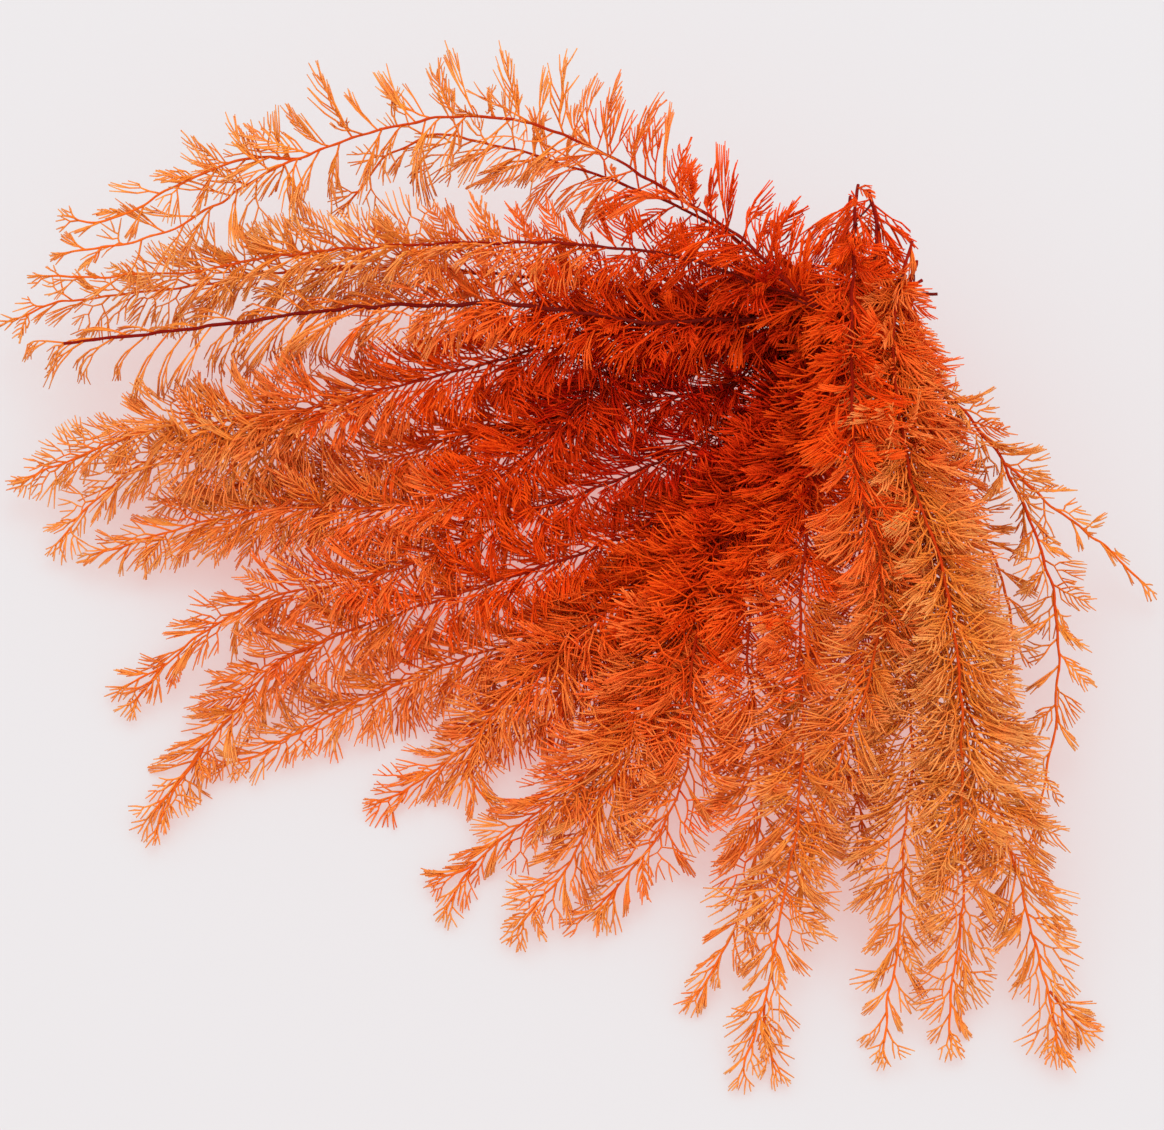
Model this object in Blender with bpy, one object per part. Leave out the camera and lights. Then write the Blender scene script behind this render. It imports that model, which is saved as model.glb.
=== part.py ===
"""Air fern: a loose bunch of dried, dyed sea-fir fronds lying on a flat surface.

Each frond grew as one piece: a thin stem with flat side branches in four ranks. The fronds are stacked where they
cross, near their cut ends, and splay out from there over the surface. Where a frond forks, the fork is a piece of its
own. Units are metres, +Z is up, the bunch rests on the plane z = 0, and the middle of its footprint is the origin.
"""

import math

import bmesh
import bpy
import numpy as np
from mathutils import Vector
from mathutils.bvhtree import BVHTree

MM = 0.001

# Routes are written as places in the photograph, seen from this viewpoint, and heights above the surface.
PHOTO_CENTRE_ACROSS = 582.0
PHOTO_CENTRE_DOWN = 565.0
PIXEL = 0.35 * MM
VIEW_ELEVATION = math.radians(60.0)
VIEW_DISTANCE = 1.2
AIM_HEIGHT = 25.0 * MM
# Brings the middle of the bunch's footprint to the origin.
SHIFT_X = 5.5 * MM
SHIFT_Y = 8.1 * MM

# The square stem, half its width at the cut end and at the tip.
STEM_SIDES = 4
CORNER = math.sqrt(2.0)
STEM_HALF_AT_CUT = 0.95 * MM
STEM_HALF_AT_TIP = 0.42 * MM
FORK_TAPER_FROM = 0.6
TIP_BUD = 7.0 * MM
SEGMENT = 12.5 * MM

# The flat side branches: reach, slant to the stem, and how they grow longer away from both ends of the frond.
BRANCH_REACH = 25.0 * MM
REACH_AT_CUT = 13.0 * MM
REACH_AT_TIP = 8.0 * MM
REACH_GROWTH_FROM_CUT = 0.45
REACH_GROWTH_FROM_TIP = 0.36
# A ripple in reach, and its steps from segment to segment, from rank to rank and from frond to frond.
RIPPLE = 0.12
RIPPLE_STEPS = (2.4, 1.7, 0.9)
BRANCH_ANGLE = math.radians(52.0)
BRANCH_SAG = 0.07
BRANCH_TIP_WIDTH = 5.0 * MM
BRANCH_TIP_SLENDERNESS = 0.3
LEAST_WAY_OUT = 2.5 * STEM_HALF_AT_CUT

# A crowded branch is tried shorter, and turned a little forward or back, before it is left out.
SHORTER_TRIES = (1.0, 0.8, 0.6, 0.42)
TURN_TRIES = (0.0, math.radians(14.0), math.radians(-14.0))
GAP = 0.35 * MM
GAP_TO_SISTERS = 0.25 * MM
# Along this share of its length a branch may be near its own stem and its sister branches, which it grows beside.
ROOT_SHARE = 0.22

FLOOR = 0.0
# The stem's sides, and the ranks of branches, run down, right, up and left.
UPRIGHT_RANKS = (2, 0)
LEVEL_RANKS = (1, 3)

# A route is a list of (across, down, height): pixels of the photograph, and millimetres above the surface.
FRONDS = {
    "frond_01": ((884, 352, 66), (803, 297, 70), (741, 238, 78), (671, 193, 84), (572, 137, 87), (469, 116, 85),
                 (370, 133, 79), (268, 173, 69), (166, 232, 57), (52, 254, 47)),
    "frond_02": ((858, 184, 74), (853, 250, 75), (852, 340, 73), (853, 440, 70), (864, 500, 66), (881, 560, 59),
                 (880, 620, 52), (862, 700, 43), (833, 780, 32), (812, 850, 20), (793, 905, 11)),
    "frond_03": ((912, 243, 67), (893, 330, 69), (902, 430, 68), (921, 505, 65), (944, 575, 60), (956, 650, 53),
                 (962, 740, 43), (963, 840, 31), (961, 920, 19), (950, 1000, 9), (949, 1058, 4)),
    "frond_04": ((850, 352, 62.5), (886, 367, 64), (930, 382, 61), (983, 432, 53), (1012, 480, 45), (1040, 550, 35),
                 (1058, 625, 27), (1057, 690, 22), (1049, 755, 16), (1032, 852, 8)),
    "frond_05": ((904, 310, 57), (830, 304, 60), (760, 285, 65), (687, 260, 70), (590, 245, 73), (480, 243, 73),
                 (400, 246, 69), (293, 254, 61), (190, 270, 51), (100, 276, 43), (32, 276, 37)),
    "frond_06": ((870, 190, 64), (885, 290, 61.3), (893, 400, 59), (900, 500, 56), (905, 600, 49), (911, 690, 41),
                 (912, 770, 34), (904, 850, 25), (900, 930, 15), (887, 1010, 7), (884, 1064, 4)),
    "frond_07": ((872, 330, 52), (800, 288, 57), (735, 238, 63), (671, 203, 68), (607, 178, 71), (515, 151, 72),
                 (440, 136, 68), (385, 160, 61), (340, 215, 52)),
    "frond_08": ((915, 262, 54), (905, 350, 55), (915, 450, 54), (935, 550, 50), (955, 640, 45), (972, 720, 38),
                 (993, 785, 32), (1013, 860, 24), (1034, 939, 14), (1050, 1000, 7), (1057, 1066, 4)),
    "frond_09": ((938, 294, 47.5), (905, 297, 48), (830, 322, 49), (740, 320, 53), (652, 322, 57), (526, 306, 61),
                 (420, 305, 62), (332, 310, 58), (240, 322, 52), (153, 333, 45), (64, 343, 38)),
    "frond_10": ((850, 196, 49.5), (838, 300, 46.2), (822, 420, 45), (806, 540, 44), (800, 640, 39), (803, 740, 32),
                 (796, 830, 24), (778, 930, 13), (762, 1010, 7), (738, 1088, 3)),
    "frond_11": ((900, 268, 43), (800, 300, 44), (690, 298, 49), (590, 285, 52), (500, 274, 53), (400, 266, 52),
                 (281, 272, 46), (204, 284, 40), (122, 296, 33), (60, 301, 27), (3, 326, 22)),
    "frond_12": ((878, 236, 40.5), (850, 330, 39.8), (810, 430, 40), (765, 540, 38), (748, 640, 34), (755, 720, 29),
                 (760, 800, 23), (755, 870, 15), (733, 930, 9), (704, 985, 5), (682, 1003, 4)),
    "frond_13": ((912, 300, 36), (830, 318, 37), (760, 316, 40), (684, 322, 43), (593, 333, 45), (499, 361, 45),
                 (402, 384, 43), (318, 408, 39), (230, 418, 33), (148, 430, 26), (77, 456, 19), (12, 485, 13)),
    "frond_14": ((868, 262, 35), (830, 360, 33), (770, 470, 32), (715, 570, 30), (692, 670, 27), (688, 760, 21),
                 (655, 840, 14), (618, 885, 8), (571, 931, 4)),
    "frond_15": ((885, 318, 30.5), (800, 340, 31), (705, 330, 33), (627, 357, 35.5), (545, 438, 35.5),
                 (479, 491, 32), (397, 508, 27), (306, 506, 23), (217, 519, 18), (133, 542, 12), (80, 558, 8)),
    "frond_16": ((890, 245, 29), (850, 340, 27), (780, 440, 26), (715, 540, 25), (670, 640, 23), (640, 730, 19),
                 (604, 795, 14), (569, 864, 9), (508, 940, 4)),
    "frond_17": ((920, 280, 23), (830, 345, 24.6), (730, 385, 27.5), (640, 402, 29.5), (550, 418, 30),
                 (466, 430, 29), (400, 458, 27), (320, 478, 22), (240, 492, 17), (150, 503, 11)),
    "frond_18": ((885, 268, 21.5), (840, 355, 21.2), (770, 445, 21), (700, 540, 21), (655, 640, 20), (625, 735, 16),
                 (571, 787, 12), (510, 832, 8), (470, 868, 5), (427, 884, 4)),
    "frond_19": ((905, 325, 17.2), (820, 372, 18.2), (720, 430, 24), (620, 480, 28), (527, 512, 28), (433, 556, 25),
                 (357, 581, 21), (268, 598, 16), (199, 637, 11), (158, 670, 7), (112, 692, 4)),
    "frond_20": ((870, 300, 14.5), (810, 395, 15), (735, 480, 17.5), (650, 570, 19), (575, 640, 18), (510, 695, 15),
                 (478, 735, 11), (470, 775, 7), (500, 815, 4)),
    "frond_21": ((895, 345, 11.5), (810, 410, 12.3), (725, 480, 14.8), (640, 530, 20), (560, 560, 24),
                 (470, 590, 21), (380, 620, 17), (284, 660, 12), (228, 720, 8), (180, 778, 5), (141, 829, 4)),
    "frond_22": ((880, 360, 8), (800, 440, 9.6), (720, 520, 13), (650, 585, 14), (570, 625, 13), (460, 660, 11),
                 (391, 686, 8), (318, 722, 6), (250, 757, 4), (212, 767, 3)),
    "frond_23": ((862, 372, 5), (790, 460, 7), (720, 560, 9), (650, 640, 10), (580, 680, 10), (520, 715, 9),
                 (460, 754, 6), (415, 783, 4), (369, 807, 3)),
    "frond_24": ((902, 352, 33), (925, 420, 32), (950, 480, 29), (985, 540, 24), (1008, 600, 19), (1012, 660, 14),
                 (1000, 720, 9)),
    # The lowest frond lies along the surface.
    "frond_25": ((858, 400, 4), (864, 450, 1), (868, 510, 0), (862, 600, 0), (846, 690, 0), (842, 760, 0),
                 (862, 820, 0), (858, 868, 0)),
}

# A fork's route starts on its parent's route.
FORKS = {
    "frond_01_fork": ("frond_01", ((301, 160, 72), (255, 157, 70), (199, 176, 66), (143, 203, 60), (97, 222, 55),
                                   (62, 219, 51))),
    "frond_04_fork": ("frond_04", ((1001, 462, 48), (1032, 488, 43), (1074, 523, 32), (1113, 553, 19),
                                   (1151, 592, 8))),
    "frond_08_fork": ("frond_08", ((1048, 990, 8), (1071, 1019, 6), (1093, 1039, 4))),
    "frond_10_fork": ("frond_10", ((763, 1004, 7), (768, 1040, 5), (773, 1082, 3))),
    "frond_13_fork": ("frond_13", ((330, 404, 40), (285, 436, 34), (215, 455, 28), (150, 460, 22), (102, 496, 14),
                                   (48, 551, 7))),
    "frond_14_fork": ("frond_14", ((618, 885, 8), (607, 905, 6), (604, 927, 4))),
    "frond_18_fork": ("frond_18", ((476, 862, 5), (459, 889, 4), (437, 914, 3))),
    "frond_19_fork": ("frond_19", ((166, 664, 8), (145, 690, 6), (128, 716, 4))),
    "frond_21_fork": ("frond_21", ((205, 748, 7), (172, 795, 5), (155, 843, 4))),
}

FROND_COLOUR = (0.70, 0.13, 0.012, 1.0)
FROND_ROUGHNESS = 0.62


def clear_scene():
    for thing in list(bpy.data.objects):
        bpy.data.objects.remove(thing)


def on_photo(across, down, height_mm):
    """The point at this height above the surface that the photograph shows at this pixel."""
    back = Vector((0.0, -math.cos(VIEW_ELEVATION), math.sin(VIEW_ELEVATION)))
    up = Vector((0.0, math.sin(VIEW_ELEVATION), math.cos(VIEW_ELEVATION)))
    eye = Vector((SHIFT_X, SHIFT_Y, AIM_HEIGHT)) + back * VIEW_DISTANCE
    ray = -back * VIEW_DISTANCE
    ray += Vector((1.0, 0.0, 0.0)) * (across - PHOTO_CENTRE_ACROSS) * PIXEL
    ray += up * (PHOTO_CENTRE_DOWN - down) * PIXEL
    return eye + ray * ((height_mm * MM - eye.z) / ray.z)


def smooth_line(places, steps=24):
    """A Catmull-Rom line through the places of a route."""
    points = [on_photo(*place) for place in places]
    padded = [points[0] * 2 - points[1], *points, points[-1] * 2 - points[-2]]
    line = []
    for a, b, c, d in zip(padded, padded[1:], padded[2:], padded[3:]):
        for t in (step / steps for step in range(steps)):
            bend = (2 * a - 5 * b + 4 * c - d) * t**2 + (3 * b - a - 3 * c + d) * t**3
            line.append((2 * b + (c - a) * t + bend) / 2)
    line.append(points[-1])
    return line


def even_stations(line):
    """Points one segment apart along the line, and the line's length."""
    places = np.array([tuple(point) for point in line])
    marks = np.concatenate([[0.0], np.cumsum(np.linalg.norm(np.diff(places, axis=0), axis=1))])
    count = max(2, round(marks[-1] / SEGMENT))
    wanted = np.linspace(0.0, marks[-1], count + 1)
    columns = [np.interp(wanted, marks, places[:, axis]) for axis in range(3)]
    return [Vector(point) for point in np.stack(columns, axis=1)], marks[-1]


def frames_along(points):
    """For each point, the direction of growth, the level direction across it, and the direction at right angles."""
    frames = []
    for i in range(len(points)):
        forward = (points[min(i + 1, len(points) - 1)] - points[max(i - 1, 0)]).normalized()
        level = forward.cross(Vector((0.0, 0.0, 1.0))).normalized()
        frames.append((forward, level, level.cross(forward)))
    return frames


def stem_half(share):
    """Half the stem's width at this share of the way from cut end to tip."""
    return STEM_HALF_AT_CUT + (STEM_HALF_AT_TIP - STEM_HALF_AT_CUT) * share


def copy_of(vert, face):
    """The corner of an extruded face that this corner was drawn out to."""
    return next(edge.other_vert(vert) for edge in vert.link_edges if edge.other_vert(vert) in face.verts)


def middle_of(points):
    return sum(points, Vector()) / len(points)


class Branch:
    """A flat side branch: the four corners of its root on the stem's side, and the two ends of its tip edge."""

    def __init__(self, frond, segment, side, share, turn):
        self.segment = segment
        self.side = side
        rear, front = frond.rings[segment], frond.rings[segment + 1]
        corners = (side, (side + 1) % STEM_SIDES)
        self.rear = [rear[k].co.copy() for k in corners]
        self.front = [front[k].co.copy() for k in corners]
        self.root = middle_of(self.rear + self.front)
        self.forward, level, up = frond.frames[segment]
        out = (-up, level, up, -level)[side]
        reach = frond.reach_at(segment, side) * share
        way = self.forward * math.cos(BRANCH_ANGLE + turn) + out * math.sin(BRANCH_ANGLE + turn)
        across = self.forward * math.sin(BRANCH_ANGLE + turn) - out * math.cos(BRANCH_ANGLE + turn)
        half = min(BRANCH_TIP_WIDTH, BRANCH_TIP_SLENDERNESS * reach) / 2
        self.tips = [self.root + way * reach + across * half * sign for sign in (-1, 1)]
        for tip in self.tips:
            tip.z = max(tip.z - BRANCH_SAG * reach, FLOOR)

    def leaves_the_stem(self):
        """Whether the surface below left the branch room to grow away from its stem."""
        reach = middle_of(self.tips) - self.root
        way_out = reach - self.forward * reach.dot(self.forward)
        return way_out.length > LEAST_WAY_OUT

    def tree(self, spare, start):
        """The branch beyond this share of its length, grown by a spare distance all round."""
        along = (self.tips[1] - self.tips[0]).normalized()
        outward = (middle_of(self.tips) - self.root).normalized()
        thick = along.cross(outward).normalized()
        points = []
        for pair, tip, push in ((self.rear, self.tips[0], -along), (self.front, self.tips[1], along)):
            for corner in pair:
                sign = 1 if (corner - self.root).dot(thick) > 0 else -1
                shove = (thick * sign + push) * spare
                points += [corner.lerp(tip, start) + shove, tip + shove + outward * spare]
        faces = ((0, 2, 3, 1), (4, 6, 7, 5), (0, 4, 5, 1), (2, 6, 7, 3), (0, 2, 6, 4), (1, 3, 7, 5))
        return BVHTree.FromPolygons(points, faces)


class Frond:
    """A stem and its side branches, built up as one closed mesh."""

    def __init__(self, name, number, line, taper_from):
        self.name = name
        self.number = number
        self.taper_from = taper_from
        self.points, self.length = even_stations(line)
        self.frames = frames_along(self.points)
        self.mesh = bmesh.new()
        self.rings = []
        self.grow_stem()

    def ring_places(self, i):
        half = stem_half(self.taper_from + (1.0 - self.taper_from) * i / (len(self.points) - 1))
        centre = self.points[i].copy()
        centre.z = max(centre.z, FLOOR + half)
        _, level, up = self.frames[i]
        return [centre + level * half * a + up * half * b for a, b in ((-1, -1), (1, -1), (1, 1), (-1, 1))]

    def grow_stem(self):
        """A square stem, extruded ring by ring from its cut end, that ends in a bud."""
        start = bmesh.ops.create_circle(self.mesh, cap_ends=True, radius=STEM_HALF_AT_CUT, segments=STEM_SIDES)
        self.rings.append(start["verts"])
        end = list(self.mesh.faces)[0]
        for _ in self.points[1:]:
            end = bmesh.ops.extrude_discrete_faces(self.mesh, faces=[end])["faces"][0]
            self.rings.append([copy_of(vert, end) for vert in self.rings[-1]])
        for i, ring in enumerate(self.rings):
            for vert, place in zip(ring, self.ring_places(i)):
                vert.co = place
        bmesh.ops.holes_fill(self.mesh, edges=self.mesh.edges, sides=STEM_SIDES)
        bud = bmesh.ops.poke(self.mesh, faces=[end])["verts"][0]
        bud.co = self.points[-1] + self.frames[-1][0] * TIP_BUD
        bud.co.z = max(bud.co.z, FLOOR + STEM_HALF_AT_TIP)
        bmesh.ops.recalc_face_normals(self.mesh, faces=self.mesh.faces)

    def tree(self):
        return BVHTree.FromBMesh(self.mesh)

    def reach_at(self, segment, side):
        """How far a branch reaches: less near the cut end, and least at the tip."""
        from_cut = self.length * (segment + 0.5) / (len(self.points) - 1)
        reach = min(BRANCH_REACH,
                    REACH_AT_CUT + REACH_GROWTH_FROM_CUT * from_cut,
                    REACH_AT_TIP + REACH_GROWTH_FROM_TIP * (self.length - from_cut))
        step, rank_step, frond_step = RIPPLE_STEPS
        return reach * (1.0 + RIPPLE * math.sin(step * segment + rank_step * side + frond_step * self.number))

    def grow_branch(self, branch):
        """Draws a side of the stem out into a flat branch that ends in an edge."""
        rows = (branch.segment, branch.segment + 1)
        corners = [self.rings[i][k] for i in rows for k in (branch.side, (branch.side + 1) % STEM_SIDES)]
        face = set.intersection(*[set(vert.link_faces) for vert in corners]).pop()
        drawn = bmesh.ops.extrude_discrete_faces(self.mesh, faces=[face])["faces"][0]
        rear = [vert for vert in drawn.verts if (vert.co - branch.root).dot(branch.forward) < 0]
        front = [vert for vert in drawn.verts if vert not in rear]
        for pair, tip in zip((rear, front), branch.tips):
            bmesh.ops.pointmerge(self.mesh, verts=pair, merge_co=tip)

    def grow_branches(self, neighbours):
        """Pairs of branches, level on one segment and upright on the next, wherever there is room for them."""
        own_stem = self.tree()
        sisters = []
        for segment in range(len(self.points) - 1):
            for side in LEVEL_RANKS if segment % 2 == self.number % 2 else UPRIGHT_RANKS:
                for share, turn in ((share, turn) for share in SHORTER_TRIES for turn in TURN_TRIES):
                    branch = Branch(self, segment, side, share, turn)
                    if branch.leaves_the_stem() and has_room(branch, own_stem, sisters, neighbours):
                        self.grow_branch(branch)
                        sisters.append(branch.tree(0.0, ROOT_SHARE))
                        break


def has_room(branch, own_stem, sisters, neighbours):
    whole = branch.tree(GAP, 0.0)
    outer = branch.tree(GAP_TO_SISTERS, ROOT_SHARE)
    return not (any(whole.overlap(tree) for tree in neighbours)
                or any(outer.overlap(tree) for tree in [own_stem, *sisters]))


def distance_to_stretch(point, a, b):
    share = max(0.0, min(1.0, (point - a).dot(b - a) / (b - a).length_squared))
    return (a.lerp(b, share) - point).length


def clear_of_parent(line, parent):
    """The fork's line from where its stem is just clear of the parent's stem."""
    nearest = (stem_half(0.0) + stem_half(FORK_TAPER_FROM)) * CORNER + GAP
    for i, point in enumerate(line):
        if all(distance_to_stretch(point, a, b) > nearest for a, b in zip(parent.points, parent.points[1:])):
            return line[i:]
    raise ValueError("the fork never leaves its parent")


def frond_material(name):
    made = bpy.data.materials.new(name)
    made.use_nodes = True
    shader = made.node_tree.nodes["Principled BSDF"]
    shader.inputs["Base Color"].default_value = FROND_COLOUR
    shader.inputs["Roughness"].default_value = FROND_ROUGHNESS
    shader.inputs["Metallic"].default_value = 0.0
    return made


def as_object(frond):
    bmesh.ops.recalc_face_normals(frond.mesh, faces=frond.mesh.faces)
    mesh = bpy.data.meshes.new(frond.name)
    frond.mesh.to_mesh(mesh)
    frond.mesh.free()
    mesh.materials.append(frond_material(frond.name))
    bpy.context.scene.collection.objects.link(bpy.data.objects.new(frond.name, mesh))


def main():
    clear_scene()
    fronds = {}
    for number, (name, route) in enumerate(FRONDS.items()):
        fronds[name] = Frond(name, number, smooth_line(route), 0.0)
    for number, (name, (parent, route)) in enumerate(FORKS.items()):
        line = clear_of_parent(smooth_line(route), fronds[parent])
        fronds[name] = Frond(name, number, line, FORK_TAPER_FROM)
    trees = {name: frond.tree() for name, frond in fronds.items()}
    for name, frond in fronds.items():
        frond.grow_branches([tree for other, tree in trees.items() if other != name])
        trees[name] = frond.tree()
    for frond in fronds.values():
        as_object(frond)


main()
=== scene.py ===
# Looks of a bunch of dyed air fern: every frond gets a round stem and flat forked fans of fine threads.
import math

import bmesh
import bpy
import numpy as np
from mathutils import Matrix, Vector


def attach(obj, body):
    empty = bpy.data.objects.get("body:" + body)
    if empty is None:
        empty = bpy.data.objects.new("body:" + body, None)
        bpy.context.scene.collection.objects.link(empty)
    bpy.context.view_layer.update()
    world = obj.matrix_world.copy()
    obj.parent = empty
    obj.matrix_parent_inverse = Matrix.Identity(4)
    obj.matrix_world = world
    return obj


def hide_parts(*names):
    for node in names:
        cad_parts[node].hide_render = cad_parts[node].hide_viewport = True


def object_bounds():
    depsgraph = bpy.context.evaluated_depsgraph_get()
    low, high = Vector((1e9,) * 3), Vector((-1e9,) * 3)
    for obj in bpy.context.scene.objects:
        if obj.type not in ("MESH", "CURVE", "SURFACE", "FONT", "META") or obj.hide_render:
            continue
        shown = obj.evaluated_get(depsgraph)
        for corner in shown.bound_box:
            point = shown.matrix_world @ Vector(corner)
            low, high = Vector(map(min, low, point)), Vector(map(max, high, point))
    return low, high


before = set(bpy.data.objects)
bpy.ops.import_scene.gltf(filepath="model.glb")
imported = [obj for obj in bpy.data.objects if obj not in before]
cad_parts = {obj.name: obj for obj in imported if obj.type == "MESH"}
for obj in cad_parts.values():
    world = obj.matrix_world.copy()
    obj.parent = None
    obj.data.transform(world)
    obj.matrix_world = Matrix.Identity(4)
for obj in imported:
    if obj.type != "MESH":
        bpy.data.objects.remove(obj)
cadLow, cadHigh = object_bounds()
print("frame loaded:", len(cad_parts), "nodes")

mm = 0.001
seed = 11
random = np.random.default_rng(seed)
upright = np.array([0.0, 0.0, 1.0])

# Where the photograph was taken from, and the size of one of its pixels on the bunch
photo = {
    "across": 1164,
    "centreAcross": 582.0,
    "centreDown": 565.0,
    "pixel": 0.35 * mm,
    "elevation": math.radians(60.0),
    "distance": 1.2,
    "aim": np.array([5.5, 8.1, 25.0]) * mm,
    "right": np.array([1.0, 0.0, 0.0]),
    "sensor": 36.0,
    "clipStart": 0.01,
    "clipEnd": 50.0,
}
photo["back"] = np.array([0.0, -math.cos(photo["elevation"]), math.sin(photo["elevation"])])
photo["up"] = np.array([0.0, math.sin(photo["elevation"]), math.cos(photo["elevation"])])


def onPhoto(across, down, height):
    # the point at this height in mm that the photograph shows at this pixel
    eye = photo["aim"] + photo["back"] * photo["distance"]
    ray = -photo["back"] * photo["distance"]
    ray = ray + photo["right"] * (across - photo["centreAcross"]) * photo["pixel"]
    ray = ray + photo["up"] * (photo["centreDown"] - down) * photo["pixel"]
    return eye + ray * ((height * mm - eye[2]) / ray[2])


def addCamera():
    camera = bpy.data.objects.new("camera", bpy.data.cameras.new("camera"))
    camera.location = photo["aim"] + photo["back"] * photo["distance"]
    camera.rotation_mode = "QUATERNION"
    camera.rotation_quaternion = Vector(-photo["back"]).to_track_quat("-Z", "Y")
    camera.data.sensor_width = photo["sensor"]
    camera.data.lens = photo["sensor"] * photo["distance"] / (photo["across"] * photo["pixel"])
    camera.data.clip_start = photo["clipStart"]
    camera.data.clip_end = photo["clipEnd"]
    bpy.context.scene.collection.objects.link(camera)
    bpy.context.scene.camera = camera


addCamera()

# Pale paper that the bunch lies on, and the soft light of a small studio
stage = {
    "floorSize": 6.0,
    # The paper's glow and colour paint light: it glows though it is no lamp, with a mostly red glow and a
    # mostly green and blue reflectance, so where fronds shade it only green and blue fall off. This is
    # painted red bounce light from the fronds.
    "floorColour": (0.08, 0.31, 0.34, 1.0),
    "floorPaintedBounceGlow": (0.718, 0.342, 0.312, 1.0),
    "floorRoughness": 0.85,
    "floorShine": 0.2,
    "skyColour": (1.0, 0.985, 0.98, 1.0),
    "skyStrength": 1.40,
    "lampPlace": (0.2, 0.7, 1.9),
    "lampSize": 1.4,
    "lampPower": 8.8,
}


def addStage():
    bpy.ops.mesh.primitive_plane_add(size=stage["floorSize"])
    floor = bpy.context.object
    floor.name = "floor"
    paper = bpy.data.materials.new("paper")
    paper.use_nodes = True
    shader = paper.node_tree.nodes["Principled BSDF"]
    # painted light: the red-heavy glow over a green-blue reflectance keeps the shade under the fronds pink,
    # as if red light bounced off them
    shader.inputs["Base Color"].default_value = stage["floorColour"]
    shader.inputs["Emission Color"].default_value = stage["floorPaintedBounceGlow"]
    shader.inputs["Emission Strength"].default_value = 1.0
    shader.inputs["Roughness"].default_value = stage["floorRoughness"]
    shader.inputs["Specular IOR Level"].default_value = stage["floorShine"]
    floor.data.materials.append(paper)

    world = bpy.data.worlds.new("studio")
    world.use_nodes = True
    sky = world.node_tree.nodes["Background"]
    sky.inputs["Color"].default_value = stage["skyColour"]
    sky.inputs["Strength"].default_value = stage["skyStrength"]
    bpy.context.scene.world = world

    lamp = bpy.data.objects.new("softbox", bpy.data.lights.new("softbox", "AREA"))
    lamp.data.size = stage["lampSize"]
    lamp.data.energy = stage["lampPower"]
    lamp.location = stage["lampPlace"]
    aim = Vector(photo["aim"]) - lamp.location
    lamp.rotation_mode = "QUATERNION"
    lamp.rotation_quaternion = aim.to_track_quat("-Z", "Y")
    bpy.context.scene.collection.objects.link(lamp)
    bpy.context.scene.view_settings.view_transform = "Standard"


addStage()
print("camera, floor and light ready")

# The dyed horn of the fronds. A frond's map runs from left to right along a stem, from its cut end to its
# tip, and then along a fan, from its root to its threads' ends. From bottom to top it runs from older growth
# to young; low values also stand for painted shade in the middle of the bunch, and high ones for painted
# light on fronds at its top and edges.
dye = {
    "stemShare": 0.3,
    "fansFrom": 0.34,
    # the darkest, older growth; it also colours the painted shade in the middle of the bunch
    "oldAndShaded": (
        (0.00, (0.13, 0.010, 0.006)),
        (0.22, (0.14, 0.006, 0.003)),
        (0.30, (0.20, 0.006, 0.002)),
        (0.34, (0.42, 0.005, 0.002)),
        (0.60, (0.52, 0.008, 0.002)),
        (1.00, (0.64, 0.015, 0.002)),
    ),
    "grown": (
        (0.00, (0.20, 0.006, 0.002)),
        (0.15, (0.28, 0.012, 0.002)),
        (0.30, (0.52, 0.040, 0.004)),
        (0.34, (0.72, 0.050, 0.003)),
        (0.60, (0.83, 0.078, 0.004)),
        (1.00, (0.92, 0.115, 0.007)),
    ),
    "young": (
        (0.00, (0.35, 0.014, 0.002)),
        (0.15, (0.54, 0.055, 0.006)),
        (0.30, (0.76, 0.170, 0.014)),
        (0.34, (0.81, 0.220, 0.024)),
        (0.60, (0.84, 0.300, 0.046)),
        (1.00, (0.84, 0.385, 0.120)),
    ),
    "ages": (("grown", (0.0, 0.5)), ("young", (0.5, 1.0))),
    "deep": (0.98, 0.65, 0.55),
    "roughness": 0.7,
    "shine": 0.04,
    "mottleSize": 0.006,
    "mottleDetail": 3.0,
    "mottleFrom": (0.35, 0.7),
    "mottleDepth": 0.75,
    "cupsAlong": 38.0,
    "cupDepth": 0.25,
    "cupRelief": 0.4,
    "cupHeight": 0.08 * mm,
}

# Where a mix node has its colours, among sockets of the same names for numbers and directions
colourSockets = {"first": 6, "second": 7, "mixed": 2}


def addRamp(nodes, links, stops, place):
    ramp = nodes.new("ShaderNodeValToRGB")
    elements = ramp.color_ramp.elements
    while len(elements) < len(stops):
        elements.new(0.5)
    for element, (position, colour) in zip(elements, stops):
        element.position = position
        element.color = (*colour, 1.0)
    links.new(place, ramp.inputs["Fac"])
    return ramp.outputs["Color"]


def addRange(nodes, links, value, before, after):
    made = nodes.new("ShaderNodeMapRange")
    made.inputs["From Min"].default_value, made.inputs["From Max"].default_value = before
    made.inputs["To Min"].default_value, made.inputs["To Max"].default_value = after
    links.new(value, made.inputs["Value"])
    return made.outputs["Result"]


def addMath(nodes, links, operation, first, second=None):
    made = nodes.new("ShaderNodeMath")
    made.operation = operation
    links.new(first, made.inputs[0])
    if isinstance(second, float):
        made.inputs[1].default_value = second
    elif second is not None:
        links.new(second, made.inputs[1])
    return made.outputs["Value"]


def addMix(nodes, links, blend, share, first, second):
    made = nodes.new("ShaderNodeMix")
    made.data_type = "RGBA"
    made.blend_type = blend
    links.new(share, made.inputs["Factor"])
    links.new(first, made.inputs[colourSockets["first"]])
    if isinstance(second, tuple):
        made.inputs[colourSockets["second"]].default_value = second
    else:
        links.new(second, made.inputs[colourSockets["second"]])
    return made.outputs[colourSockets["mixed"]]


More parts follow.
